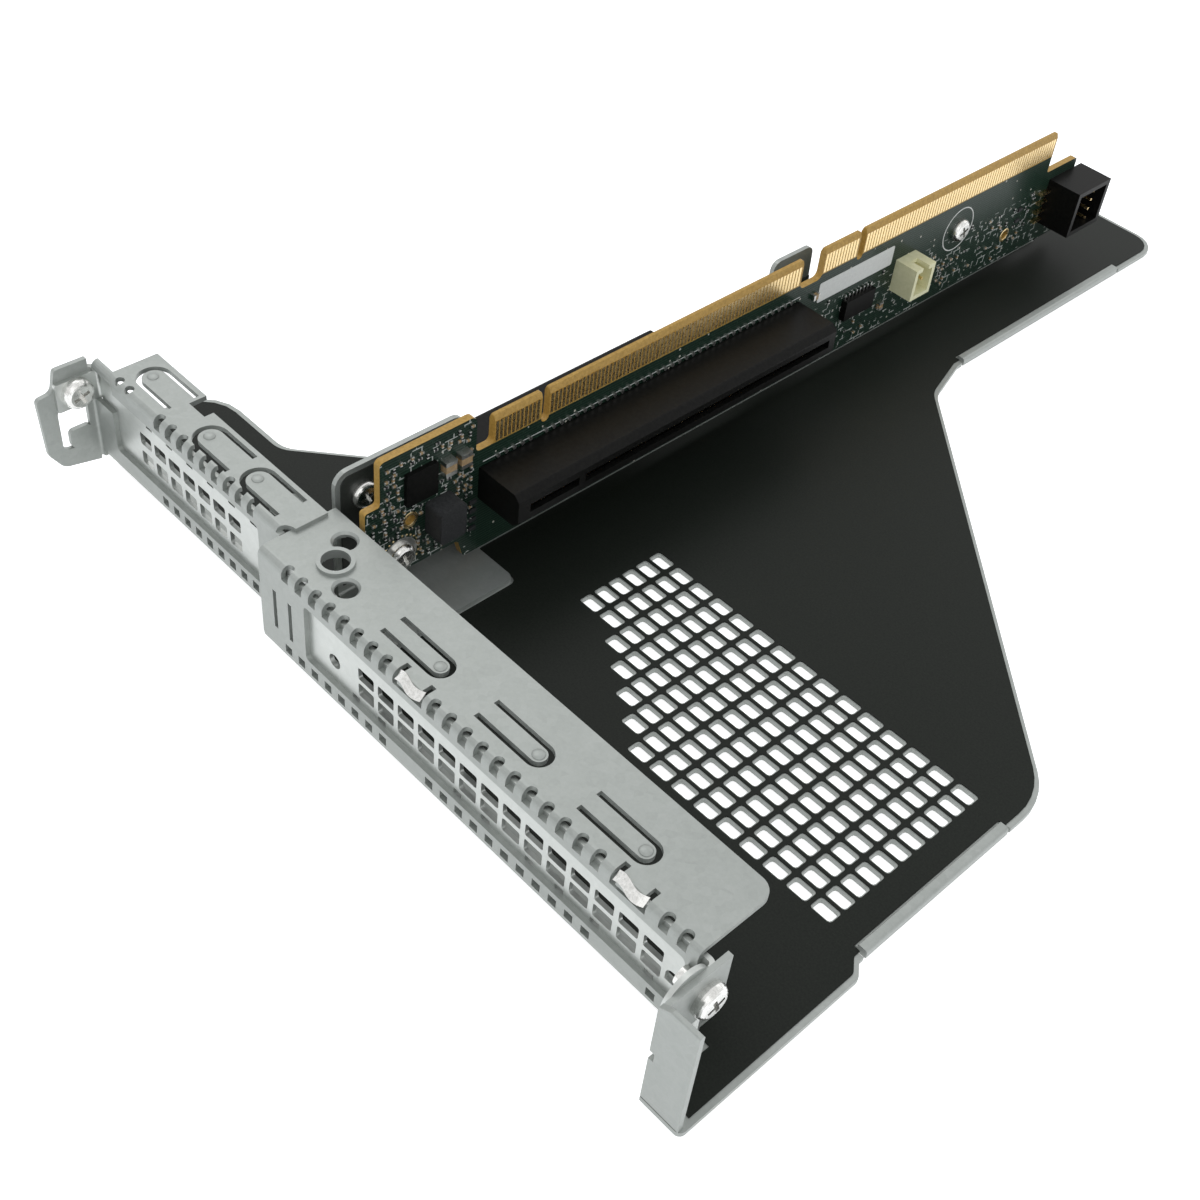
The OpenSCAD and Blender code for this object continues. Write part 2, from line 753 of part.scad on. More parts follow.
// Quarter bend from a cover's plate into its tab; face is the tab's inner face
module cover_bend(face, y, low, high) {
    inner = bend_r;
    along_z(low, high)
        difference() {
            polygon(rounded([
                [face - inner - eps, y + cover_t, 0],
                [face + cover_t, y + cover_t, inner + cover_t],
                [face + cover_t, y - inner - eps, 0],
                [face, y - inner - eps, 0],
                [face, y, inner],
                [face - inner - eps, y, 0]
            ]));
        }
}

module lp_slot_cover() {
    left = lp_ear_x + sheet_t;
    right = left + lp_cover_len;
    low = cover_low;
    color(bright_steel) {
        along_y(lp_cover_y, lp_cover_y + cover_t)
            difference() {
                polygon(rounded([
                    [right, low + (cover_w - tongue_w) / 2, 1],
                    [right, low + (cover_w + tongue_w) / 2, 1],
                    [right - tongue_len, low + (cover_w + tongue_w) / 2, 0.5],
                    [right - tongue_len, cover_high, 1],
                    [left + cover_t + bend_r, cover_high, 0],
                    [left + cover_t + bend_r, low, 0],
                    [right - tongue_len, low, 1],
                    [right - tongue_len, low + (cover_w - tongue_w) / 2, 0.5]
                ]));
                hole_row(-54.1, lp_holes, lp_hole_pitch, low + 9.2, hole_high);
                hole_row(-54.1, lp_holes, lp_hole_pitch, low + 4.5, hole_low);
                for (i = [0 : 5])
                    translate([-51.4 + i * 6.7, low + 14.6]) square([2, 2]);
            }
        // Bend beside the ear, only as high as the tab
        along_z(window_low + 9.2, cover_high)
            polygon(rounded([
                [left + cover_t + bend_r + eps, lp_cover_y + cover_t, 0],
                [left, lp_cover_y + cover_t, bend_r + cover_t],
                [left, lp_cover_y - bend_r - eps, 0],
                [left + cover_t, lp_cover_y - bend_r - eps, 0],
                [left + cover_t, lp_cover_y, bend_r],
                [left + cover_t + bend_r + eps, lp_cover_y, 0]
            ]));
        difference() {
            along_x(left, left + cover_t)
                rounded_box(lp_cover_y - cover_tab + 1.5, lp_cover_y - bend_r,
                            window_low + 9.2, cover_high, 0.4);
            rod_x(left - eps, left + cover_t + eps, ear_screw, cover_screw_d + screw_fit);
        }
    }
}

// ---------- screws ----------

// Pan-head screw with a cross recess, along X; the head's underside is at x = 0
module pan_screw(d, head_d, head_h, len) {
    difference() {
        union() {
            rotate([0, 90, 0]) rotate_extrude()
                polygon(concat([[0, 0], [head_d / 2, 0]],
                    [for (a = [0 : 15 : 75])
                        [head_d / 2 - head_h * 0.6 * (1 - cos(a)), head_h * (0.35 + 0.65 * sin(a))]],
                    [[0, head_h]]));
            translate([-len, 0, 0]) rotate([0, 90, 0]) cylinder(h = len + eps, d = d);
        }
        for (turn = [0, 90])
            rotate([turn + 20, 0, 0])
                translate([head_h * 0.45, -head_d * 0.27, -head_d * 0.06])
                    cube([head_h, head_d * 0.54, head_d * 0.12]);
    }
}

module fh_cover_screw() {
    color(bright_steel)
        translate([ledge_x + sheet_t, ledge_screw[0], ledge_screw[1]])
            pan_screw(cover_screw_d, cover_head_d, cover_head_h, sheet_t + cover_t + 3);
}

module lp_cover_screw() {
    color(bright_steel)
        translate([lp_ear_x + sheet_t + cover_t, ear_screw[0], ear_screw[1]])
            pan_screw(cover_screw_d, cover_head_d, cover_head_h, sheet_t + cover_t + 3);
}

// ---------- riser wall ----------

// Side view of the wall: two posts joined by low stretches, as [Y, Z]
function wall_side() = rounded([
    [wall_front, 0, 0],
    [wall_back, 0, 0],
    [wall_back, wall_low + 12, 2],
    [wall_back - 36, wall_low + 12, 3],
    [wall_back - 40, wall_low, 3],
    [99.5, wall_low, 2],
    [98.5, mid_post_top, 2],
    [86, mid_post_top, 2],
    [85, wall_low, 2],
    [3, wall_low, 2],
    [3, 23.5, 1.2],
    [0, 23.5, 1.2],
    [0, post_top, 3],
    [wall_front, post_top, 3]
]);

// Plan of the wall with its foot; grow widens the foot for the film's cut-out
module wall_plan(grow) {
    polygon(rounded([
        [wall_back_x - grow, wall_front - grow, 0],
        [foot_pad_x + grow, wall_front - grow, 0],
        [foot_pad_x + grow, foot_pad_back + grow, 1.6],
        [wall_foot_x + grow, foot_pad_back + grow, 0.6],
        [wall_foot_x + grow, wall_back + grow, 0],
        [wall_back_x - grow, wall_back + grow, 0]
    ]));
}

module riser_wall() {
    color(steel)
        difference() {
            // Folded section, trimmed to the plan and the side view
            intersection() {
                along_y(wall_front - 1, wall_back + 1)
                    polygon(rounded([
                        [wall_back_x, post_top + 1, 0],
                        [wall_back_x, plate_top, bend_outer],
                        [foot_pad_x + 1, plate_top, 0],
                        [foot_pad_x + 1, foot_top, 0],
                        [wall_x, foot_top, bend_r],
                        [wall_x, post_top + 1, 0]
                    ]));
                along_x(wall_back_x - 1, foot_pad_x + 2)
                    polygon(wall_side());
                along_z(0, post_top + 2)
                    wall_plan(0);
            }
            for (at = board_screw_sites)
                rod_x(wall_back_x - eps, wall_x + eps, at, board_screw_d + 1.2);
            rod_x(wall_back_x - eps, wall_x + eps, wall_screw_site, board_screw_d + screw_fit);
        }
}

module wall_film() {
    color(film_black)
        along_x(wall_x, wall_x + film_t)
            difference() {
                intersection() {
                    polygon(wall_side());
                    translate([wall_front + film_margin, foot_top + bend_outer + film_gap])
                        square([wall_back - wall_front - 2 * film_margin, 18]);
                }
                for (at = board_screw_sites)
                    translate(at) circle(d = standoff_af + 2);
                translate(wall_screw_site) circle(d = board_head_d + 1.6);
            }
}

// ---------- riser board ----------

// Outline of the board as [Y, Z]
function board_outline() = rounded([
    [board_front, board_step, 0.6],
    [-8, board_step, 1],
    [-6.6, board_low, 1],
    [board_back, board_low, 0.8],
    [board_back, board_shoulder, 0.8],
    [second_end, board_shoulder, 0.6],
    [second_end, tip_z, 0.4],
    [second_start + short_tongue + key_w, tip_z, 0.4],
    [second_start + short_tongue + key_w, notch_z, 0.9],
    [second_start + short_tongue, notch_z, 0.9],
    [second_start + short_tongue, tip_z, 0.4],
    [second_start, tip_z, 0.4],
    [second_start, notch_z, 1.4],
    [first_end, notch_z, 1.4],
    [first_end, tip_z, 0.4],
    [short_tongue + key_w, tip_z, 0.4],
    [short_tongue + key_w, notch_z, 0.9],
    [short_tongue, notch_z, 0.9],
    [short_tongue, tip_z, 0.4],
    [0, tip_z, 0.4],
    [0, notch_z + 1, 1],
    [-4.3, notch_z + 1, 1],
    [-4.3, board_top, 1.4],
    [-26.3, board_top, 1],
    [-26.3, notch_z - 0.4, 0.6],
    [board_front, notch_z - 0.4, 0.6]
]);

module riser_board() {
    bevel = 0.45;
    color(board_green)
        difference() {
            along_x(board_back_x, 0)
                polygon(board_outline());
            for (at = board_screw_sites)
                rod_x(board_back_x - eps, eps, at, board_screw_d + screw_fit);
            for (at = [[165.6, 11.5], [-19.5, 20.9]])
                rod_x(board_back_x - eps, eps, at, 2.2);
            // Bevel on both faces along the contact tips
            along_y(-0.5, second_end + 0.5) {
                polygon([[eps, tip_z - 1.2], [eps, tip_z + eps], [-bevel, tip_z + eps], [0, tip_z - 1.2]]);
                polygon([[board_back_x - eps, tip_z - 1.2], [board_back_x - eps, tip_z + eps],
                         [board_back_x + bevel, tip_z + eps], [board_back_x, tip_z - 1.2]]);
            }
        }
}

// Gold contacts on both faces of one edge connector that starts at y
module contact_comb(y) {
    top = tip_z - 1.3;
    for (x = [0, board_back_x - contact_t])
        for (i = [0 : 81])
            let (shift = i < 11 ? 0 : short_tongue + key_w - 11)
                translate([x, y + 0.65 + i * contact_pitch + shift - contact_w / 2, top - contact_h])
                    cube([contact_t, contact_w, contact_h]);
}

module edge_contacts() {
    color(gold) {
        contact_comb(0);
        contact_comb(second_start);
    }
}

module board_standoffs() {
    color(bright_steel)
        for (at = board_screw_sites)
            difference() {
                union() {
                    translate([wall_x, at[0], at[1]]) rotate([0, 90, 0])
                        cylinder(h = wall_gap, d = standoff_af / cos(30), $fn = 6);
                    rod_x(wall_back_x - 0.4, wall_x + eps, at, board_screw_d + 1.2);
                }
                rod_x(wall_back_x - 0.5, board_back_x + eps, at, board_screw_d);
            }
}

// Screw through the front post, its head on the board's side
module wall_screw() {
    color(bright_steel)
        translate([wall_x, wall_screw_site[0], wall_screw_site[1]])
            pan_screw(board_screw_d, board_head_d, board_head_h, sheet_t + 2);
}

module board_screws() {
    color(bright_steel)
        for (at = board_screw_sites)
            translate([0, at[0], at[1]])
                pan_screw(board_screw_d, board_head_d, board_head_h, board_t + 4.5);
}

// ---------- sockets ----------

// Card-edge socket standing off the +X face of the board, with a keyed slit
module socket_housing(y, len) {
    half = socket_w / 2;
    key_y = y + 3.4 + short_tongue;
    difference() {
        along_y(y, y + len)
            polygon(rounded([
                [0, socket_z - half, 0.3],
                [socket_h - 1.3, socket_z - half, 0.6],
                [socket_h, socket_z - half + 1.3, 0.3],
                [socket_h, socket_z + half - 1.3, 0.3],
                [socket_h - 1.3, socket_z + half, 0.6],
                [0, socket_z + half, 0.3]
            ], 3));
        for (span = [[y + 2.9, key_y + 0.15], [key_y + key_w - 0.15, y + len - 1.9]])
            block(socket_h - slit_d, socket_h + eps, span[0], span[1],
                  socket_z - slit_w / 2, socket_z + slit_w / 2);
        // Contact chambers beside the slit
        for (s = [-1, 1])
            for (span = [[y + 3.4, key_y - 0.3], [key_y + key_w + 0.3, y + len - 2.4]])
                block(socket_h - slit_d, socket_h - 1.2, span[0], span[1],
                      socket_z + s * (slit_w / 2 + 0.35) - 0.45,
                      socket_z + s * (slit_w / 2 + 0.35) + 0.45);
    }
}

// Two rows of spring contacts inside a socket
module socket_contacts(y, count) {
    for (s = [-1, 1])
        for (i = [0 : count - 1])
            let (shift = i < 11 ? 0 : short_tongue + key_w - 11)
                translate([socket_h - slit_d, y + 3.4 + 0.65 + i * contact_pitch + shift - 0.2,
                           socket_z + s * (slit_w / 2 + 0.35) - 0.2])
                    cube([slit_d - 1.6, 0.4, 0.4]);
}

module x16_socket_housing() {
    color(black_plastic) socket_housing(socket_y, socket_len);
}

module x16_socket_contacts() {
    color(gold) socket_contacts(socket_y, 82);
}

// Solder points of the socket's upper contact row
module x16_solder_tails() {
    tails = concat([for (i = [0 : 4]) 1 + 2 * i], [for (i = [0 : 35]) 13 + 2 * i]);
    color(bright_steel)
        for (y = tails)
            rod_x(0, 0.4, [y, socket_z + socket_w / 2 + 0.7], 0.9);
}

// The socket on the solder side is the same form, mirrored through the board
module on_solder_side() {
    translate([board_back_x, 0, 0]) mirror([1, 0, 0]) children();
}

module rear_socket_housing() {
    color(black_plastic) on_solder_side() socket_housing(socket_y, rear_socket_len);
}

module rear_socket_contacts() {
    color(gold) on_solder_side() socket_contacts(socket_y, 49);
}

// ---------- headers and components ----------

module power_header() {
    color(black_plastic)
        difference() {
            block(0, 9, header_y, header_y + 13.5, 10, 22);
            block(1.5, 9 + eps, header_y + 1.2, header_y + 12.3, 11.2, 20.8);
        }
}

module power_header_pins() {
    color(gold)
        for (i = [0 : 3]) {
            block(0, 1.1, header_y - 3.4, header_y, 11.1 + i * 2.54, 11.75 + i * 2.54);
            for (y = [header_y + 2.6, header_y + 9.2])
                block(1.5, 7.6, y, y + 0.64, 11.4 + i * 2.54, 12.04 + i * 2.54);
        }
}

module sense_header() {
    color(cream)
        difference() {
            block(0, 6, 120, 127, 14, 22);
            block(1.2, 6 + eps, 121, 126, 15, 21);
            block(2.4, 6 + eps, 122.4, 124.6, 21 - eps, 22 + eps);
        }
}

module sense_header_pins() {
    color(gold)
        for (y = [122.25, 124.25])
            block(1.2, 5, y, y + 0.5, 17.7, 18.2);
}

module power_inductor() {
    color([0.2, 0.2, 0.21])
        along_x(0, 4.6)
            rounded_box(-16, -10, 15.6, 23.2, 0.8);
}

module controller_ic() {
    color(black_plastic)
        along_x(0, 0.9)
            rounded_box(-20.9, -13.8, 25, 32.3, 0.2, 1);
}

// Multilayer capacitor: a ceramic body between two metal ends
module mlcc(at, size, h) {
    translate([0, at[0], at[1]])
        cube([h, size[0], size[1]]);
}

module ceramic_capacitors() {
    color([0.62, 0.52, 0.4]) {
        for (i = [0 : 1])
            mlcc([-12.6 + i * 3.6, 28.2], [2.5, 3.2], 1.6);
        for (i = [0 : 2])
            mlcc([-8.4, 12 + i * 2.6], [1.6, 1.2], 0.9);
        mlcc([socket_end + 4.4, 23.6], [2, 1.25], 0.9);
        mlcc([116.4, 10.2], [1.25, 2], 0.9);
    }
}

module chip_parts() {
    color([0.12, 0.12, 0.13]) {
        for (i = [0 : 3])
            mlcc([-5.6, 10.4 + i * 2.2], [1.6, 0.8], 0.45);
        for (i = [0 : 2])
            mlcc([95 + i * 3, 10.8], [1, 0.5], 0.35);
        for (i = [0 : 2])
            mlcc([128.6, 12 + i * 2.4], [1.6, 0.8], 0.45);
        for (i = [0 : 1])
            mlcc([168.5, 14 + i * 3], [1.6, 0.8], 0.45);
    }
}

module soic_body() {
    color(black_plastic) block(0.15, 1.6, 102, 112, 13.6, 18.6);
}

module soic_leads() {
    color(bright_steel)
        for (z = [12.4, 18.6])
            for (i = [0 : 7])
                block(0, 0.5, 102.35 + i * 1.27, 102.75 + i * 1.27, z, z + 1.2);
}

module blank_label() {
    color([0.92, 0.92, 0.9]) along_x(0, 0.08) rounded_box(socket_end + 6.8, 118, 21.6, 26.6, 0.5);
}

cage_plate();
insulating_film();
fh_bulkhead();
lp_bulkhead();
fh_slot_cover();
lp_slot_cover();
fh_cover_screw();
lp_cover_screw();
riser_wall();
wall_film();
board_standoffs();
board_screws();
wall_screw();
riser_board();
edge_contacts();
x16_socket_housing();
x16_socket_contacts();
x16_solder_tails();
rear_socket_housing();
rear_socket_contacts();
power_header();
power_header_pins();
sense_header();
sense_header_pins();
power_inductor();
controller_ic();
ceramic_capacitors();
chip_parts();
soic_body();
soic_leads();
blank_label();
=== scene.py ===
# %% [markdown]
# # Dressing a riser cage bracket
# The bracket is a folded steel base with two slot bulkheads, a black insulating film and an
# upright riser board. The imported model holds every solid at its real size, so this lesson
# adds what solids don't say: how each surface looks, and the many tiny parts on the board.

import json
import math
import random

import bpy
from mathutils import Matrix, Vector

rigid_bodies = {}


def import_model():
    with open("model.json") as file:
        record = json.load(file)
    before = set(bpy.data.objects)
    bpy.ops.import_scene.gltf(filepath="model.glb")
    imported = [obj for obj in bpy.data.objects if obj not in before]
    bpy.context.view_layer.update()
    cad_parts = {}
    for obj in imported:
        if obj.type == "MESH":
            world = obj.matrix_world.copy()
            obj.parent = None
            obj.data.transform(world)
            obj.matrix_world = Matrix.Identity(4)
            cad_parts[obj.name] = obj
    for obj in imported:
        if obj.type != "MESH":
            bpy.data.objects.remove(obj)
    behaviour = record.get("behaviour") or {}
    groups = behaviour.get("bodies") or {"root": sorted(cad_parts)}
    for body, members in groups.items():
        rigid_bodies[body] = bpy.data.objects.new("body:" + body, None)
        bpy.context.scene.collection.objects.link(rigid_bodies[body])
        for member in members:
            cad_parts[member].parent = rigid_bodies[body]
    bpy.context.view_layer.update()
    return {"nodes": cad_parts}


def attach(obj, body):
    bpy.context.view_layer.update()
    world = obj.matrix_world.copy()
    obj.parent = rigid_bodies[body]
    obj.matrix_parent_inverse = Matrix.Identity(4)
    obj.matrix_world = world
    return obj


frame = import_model()
MM = 0.001
print("CAD nodes:", len(frame["nodes"]))

# %% [markdown]
# ## Camera
# The view looks down over the bracket from the front right. A camera is placed by its
# position and three turns: tilt, roll and heading. The lens is close to a normal one, and the
# film back is square.

# %% Camera
camera_data = bpy.data.cameras.new("camera")
camera_data.sensor_width = 36.0
camera_data.lens = 48.957
camera_data.clip_start = 0.01
camera = bpy.data.objects.new("camera", camera_data)
camera.location = (170.22 * MM, -157.72 * MM, 219.9 * MM)
camera.rotation_euler = [math.radians(a) for a in (45.2027, -5.0084, 46.5090)]
bpy.context.scene.collection.objects.link(camera)
bpy.context.scene.camera = camera
print("camera at", tuple(round(v, 3) for v in camera.location))

# %% [markdown]
# ## Light and floor
# The bracket is bare metal, so what it reflects matters as much as what lights it. A large
# soft panel behind and to the left makes the broad sheen on the flanges, a weaker one on the
# right opens the shadows, and the world is an even grey that camera, mirror and see-through
# rays find white.

# %% World
scene = bpy.context.scene
scene.view_settings.view_transform = "Standard"
world = bpy.data.worlds.new("studio")
scene.world = world
world.use_nodes = True
world_nodes = world.node_tree.nodes
world_links = world.node_tree.links
world_nodes.clear()
world_out = world_nodes.new("ShaderNodeOutputWorld")
ambient = world_nodes.new("ShaderNodeBackground")
ambient.inputs["Color"].default_value = (0.93, 0.96, 1.0, 1)
ambient.inputs["Strength"].default_value = 0.75
backdrop = world_nodes.new("ShaderNodeBackground")
backdrop.inputs["Color"].default_value = (1, 1, 1, 1)
backdrop.inputs["Strength"].default_value = 1.0
rays = world_nodes.new("ShaderNodeLightPath")
world_mix = world_nodes.new("ShaderNodeMixShader")
seen_directly, seen_at_all = (world_nodes.new("ShaderNodeMath") for _ in range(2))
seen_directly.operation = seen_at_all.operation = "MAXIMUM"
world_links.new(rays.outputs["Is Camera Ray"], seen_directly.inputs[0])
world_links.new(rays.outputs["Is Glossy Ray"], seen_directly.inputs[1])
world_links.new(seen_directly.outputs[0], seen_at_all.inputs[0])
world_links.new(rays.outputs["Is Transmission Ray"], seen_at_all.inputs[1])
world_links.new(seen_at_all.outputs[0], world_mix.inputs[0])
world_links.new(ambient.outputs[0], world_mix.inputs[1])
world_links.new(backdrop.outputs[0], world_mix.inputs[2])
world_links.new(world_mix.outputs[0], world_out.inputs["Surface"])
print("world nodes:", len(world_nodes))


# %% Soft panels
def soft_panel(name, location, target, size, watts):
    """A square area lamp that faces its target."""
    data = bpy.data.lights.new(name, "AREA")
    data.shape = "SQUARE"
    data.size = size
    data.energy = watts
    lamp = bpy.data.objects.new(name, data)
    lamp.location = location
    lamp.rotation_euler = (Vector(target) - Vector(location)).to_track_quat("-Z", "Y").to_euler()
    scene.collection.objects.link(lamp)
    return lamp


middle = (0.02, 0.05, 0.01)
soft_panel("key_panel", (-0.45, 0.15, 0.75), middle, 0.55, 1.2)
soft_panel("fill_panel", (0.6, -0.45, 0.55), middle, 0.7, 0.8)
soft_panel("rear_panel", (0.1, 0.8, 0.45), middle, 0.5, 0.4)


# %% [markdown]
# ## Helpers
# Selecting in code needs care: an operator acts on all that is selected. These helpers clear
# the selection, apply a finished piece's place to its mesh, and hand the piece to the frame.

# %% Helpers
def deselect_all():
    """Leaves nothing selected, so the next operator touches only its own piece."""
    for obj in bpy.context.view_layer.objects:
        obj.select_set(False)


def only(obj):
    """Makes one object the selected and active one."""
    deselect_all()
    obj.select_set(True)
    bpy.context.view_layer.objects.active = obj


def apply_place(obj):
    """Moves an object's location, turn and scale into its mesh."""
    only(obj)
    bpy.ops.object.transform_apply(location=True, rotation=True, scale=True)


def finish_piece(obj, material, smooth=40):
    """Applies a piece's place, shades it, and ties it to the frame."""
    apply_place(obj)
    bpy.ops.object.shade_smooth_by_angle(angle=math.radians(smooth))
    obj.data.materials.clear()
    obj.data.materials.append(material)
    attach(obj, "root")
    print(obj.name, len(obj.data.polygons), "faces")
    return obj


def join_all(parts, name):
    """Joins copies into one object with one mesh."""
    deselect_all()
    for part in parts:
        part.select_set(True)
    bpy.context.view_layer.objects.active = parts[0]
    bpy.ops.object.join()
    parts[0].name = name
    return parts[0]


def copy_to(template, places):
    """Copies a template, each copy with its own mesh, to every (location, turn)."""
    copies = []
    for location, turn in places:
        copy = template.copy()
        copy.data = template.data.copy()
        copy.location = location
        copy.rotation_euler = turn
        scene.collection.objects.link(copy)
        copies.append(copy)
    return copies


# %% [markdown]
# ## Shared effects
# Real surfaces are never one flat value. Two node groups carry the effects that most of the
# finishes share: a fine grain that varies tone and height, which at a coarse scale also gives a
# soft cloud, and the crystals of zinc. Each material places them with its own scale and strength.

# %% Node group: grain
def new_group(name, inputs, outputs):
    """An empty shader node group with float inputs and outputs."""
    group = bpy.data.node_groups.new(name, "ShaderNodeTree")
    for label, value in inputs:
        socket = group.interface.new_socket(label, in_out="INPUT", socket_type="NodeSocketFloat")
        socket.default_value = value
    group.interface.new_socket("Vector", in_out="INPUT", socket_type="NodeSocketVector")
    for label in outputs:
        group.interface.new_socket(label, in_out="OUTPUT", socket_type="NodeSocketFloat")
    entry = group.nodes.new("NodeGroupInput")
    leave = group.nodes.new("NodeGroupOutput")
    return group, entry, leave


def math_node(tree, operation, a, b):
    """A Math node with sockets or numbers on its two inputs."""
    node = tree.nodes.new("ShaderNodeMath")
    node.operation = operation
    for socket, value in zip(node.inputs, (a, b)):
        if hasattr(value, "is_linked"):
            tree.links.new(value, socket)
        else:
            socket.default_value = value
    return node.outputs[0]


grain_group, grain_in, grain_out = new_group(
    "fine_grain", [("Scale", 900.0), ("Contrast", 0.2)], ["Tone", "Height"])
grain_noise = grain_group.nodes.new("ShaderNodeTexNoise")
grain_noise.inputs["Detail"].default_value = 4.0
grain_noise.inputs["Roughness"].default_value = 0.6
grain_group.links.new(grain_in.outputs["Vector"], grain_noise.inputs["Vector"])
grain_group.links.new(grain_in.outputs["Scale"], grain_noise.inputs["Scale"])
grain_centred = math_node(grain_group, "SUBTRACT", grain_noise.outputs["Fac"], 0.5)
grain_scaled = math_node(grain_group, "MULTIPLY", grain_centred, grain_in.outputs["Contrast"])
grain_tone = math_node(grain_group, "ADD", grain_scaled, 0.5)
grain_group.links.new(grain_tone, grain_out.inputs["Tone"])
grain_group.links.new(grain_noise.outputs["Fac"], grain_out.inputs["Height"])

# %% Node group: spangle
# Zinc freezes in crystals a few millimetres wide; each has its own slight tone.
spangle_group, spangle_in, spangle_out = new_group(
    "zinc_spangle", [("Scale", 300.0), ("Contrast", 0.2)], ["Tone"])
spangle_cells = spangle_group.nodes.new("ShaderNodeTexVoronoi")
spangle_group.links.new(spangle_in.outputs["Vector"], spangle_cells.inputs["Vector"])
spangle_group.links.new(spangle_in.outputs["Scale"], spangle_cells.inputs["Scale"])
spangle_value = spangle_group.nodes.new("ShaderNodeRGBToBW")
spangle_group.links.new(spangle_cells.outputs["Color"], spangle_value.inputs[0])
spangle_centred = math_node(spangle_group, "SUBTRACT", spangle_value.outputs[0], 0.5)
spangle_scaled = math_node(spangle_group, "MULTIPLY", spangle_centred,
                           spangle_in.outputs["Contrast"])
spangle_tone = math_node(spangle_group, "ADD", spangle_scaled, 0.5)
spangle_group.links.new(spangle_tone, spangle_out.inputs["Tone"])
print("shared effects:", [group.name for group in bpy.data.node_groups])


# %% Material base
def new_material(name, metallic=0.0, roughness=0.4):
    """A material with one Principled BSDF; returns its tree, shader and Object coordinates."""
    material = bpy.data.materials.new(name)
    material.use_nodes = True
    tree = material.node_tree
    shader = tree.nodes["Principled BSDF"]
    shader.inputs["Metallic"].default_value = metallic
    shader.inputs["Roughness"].default_value = roughness
    coords = tree.nodes.new("ShaderNodeTexCoord").outputs["Object"]
    return material, tree, shader, coords


def add_group(tree, group, vector, **values):
    """Places a shared effect in a material with its own values."""
    node = tree.nodes.new("ShaderNodeGroup")
    node.node_tree = group
    tree.links.new(vector, node.inputs["Vector"])
    for label, value in values.items():
        node.inputs[label].default_value = value
    return node


def ramp(tree, factor, stops):
    """A colour ramp from (position, colour) stops."""
    node = tree.nodes.new("ShaderNodeValToRGB")
    elements = node.color_ramp.elements
    while len(elements) < len(stops):
        elements.new(0.5)
    for element, (position, colour) in zip(elements, stops):
        element.position = position
        element.color = (*colour, 1)
    tree.links.new(factor, node.inputs[0])
    return node.outputs["Color"]


def add_bump(tree, shader, height, strength, distance):
    """Feeds a height into the shader's normal."""
    bump = tree.nodes.new("ShaderNodeBump")
    bump.inputs["Strength"].default_value = strength
    bump.inputs["Distance"].default_value = distance
    tree.links.new(height, bump.inputs["Height"])
    tree.links.new(bump.outputs["Normal"], shader.inputs["Normal"])
    return bump


def grained(name, low, high, metallic, roughness, scale, bump, spread=0.08, shine=0.5):
    """A finish whose tone, roughness and height all follow one fine grain."""
    material, tree, shader, coords = new_material(name, metallic, roughness)
    shader.inputs["Specular IOR Level"].default_value = shine
    grain = add_group(tree, grain_group, coords, Scale=scale, Contrast=1.0)
    tree.links.new(ramp(tree, grain.outputs["Tone"], [(0.3, low), (0.7, high)]),
                   shader.inputs["Base Color"])
    rough = math_node(tree, "MULTIPLY", grain.outputs["Tone"], 2 * spread)
    tree.links.new(math_node(tree, "ADD", rough, roughness - spread), shader.inputs["Roughness"])
    add_bump(tree, shader, grain.outputs["Height"], bump, 0.02 * MM)
    return material


# %% [markdown]
# ## Galvanised sheet
# The cage is zinc-coated steel: a satin grey with faint crystals and a soft, cloudy gloss. A
# metallic shader gets its brightness from the base colour, so the crystals vary that and the
# roughness by a few per cent, and a fine grain gives the rolled surface.

# %% Galvanised steel
def galvanised(name, low, high, roughness, metallic):
    """A zinc-coated finish: crystals, grain and cloud vary its tone and gloss."""
    material, tree, shader, coords = new_material(name, metallic, roughness)
    spangle = add_group(tree, spangle_group, coords, Scale=700.0, Contrast=0.3)
    grain = add_group(tree, grain_group, coords, Scale=1500.0, Contrast=0.6)
    cloud = add_group(tree, grain_group, coords, Scale=60.0, Contrast=0.7)
    mixed = math_node(tree, "ADD", spangle.outputs["Tone"], grain.outputs["Tone"])
    mixed = math_node(tree, "ADD", mixed, cloud.outputs["Tone"])
    mixed = math_node(tree, "DIVIDE", mixed, 3.0)
    tree.links.new(ramp(tree, mixed, [(0.35, low), (0.65, high)]), shader.inputs["Base Color"])
    rough = math_node(tree, "MULTIPLY", mixed, 0.3)
    tree.links.new(math_node(tree, "ADD", rough, roughness - 0.15), shader.inputs["Roughness"])
    add_bump(tree, shader, grain.outputs["Height"], 0.25, 0.02 * MM)
    return material


zinc = galvanised("galvanised_sheet", (0.31, 0.33, 0.31), (0.42, 0.44, 0.42), 0.45, 0.5)
cover_steel = galvanised("slot_cover_sheet", (0.46, 0.48, 0.46), (0.58, 0.6, 0.58), 0.36, 0.85)
screw_steel = grained("screw_plate", (0.62, 0.62, 0.6), (0.8, 0.8, 0.78), 1.0, 0.24, 1800.0, 0.1)
print("steels:", zinc.name, cover_steel.name, screw_steel.name)

# %% [markdown]
# ## Films and mouldings
# The insulating film is a thin black sheet with a fine leathery grain, so it is only a little
# glossy. The moulded parts are smoother.

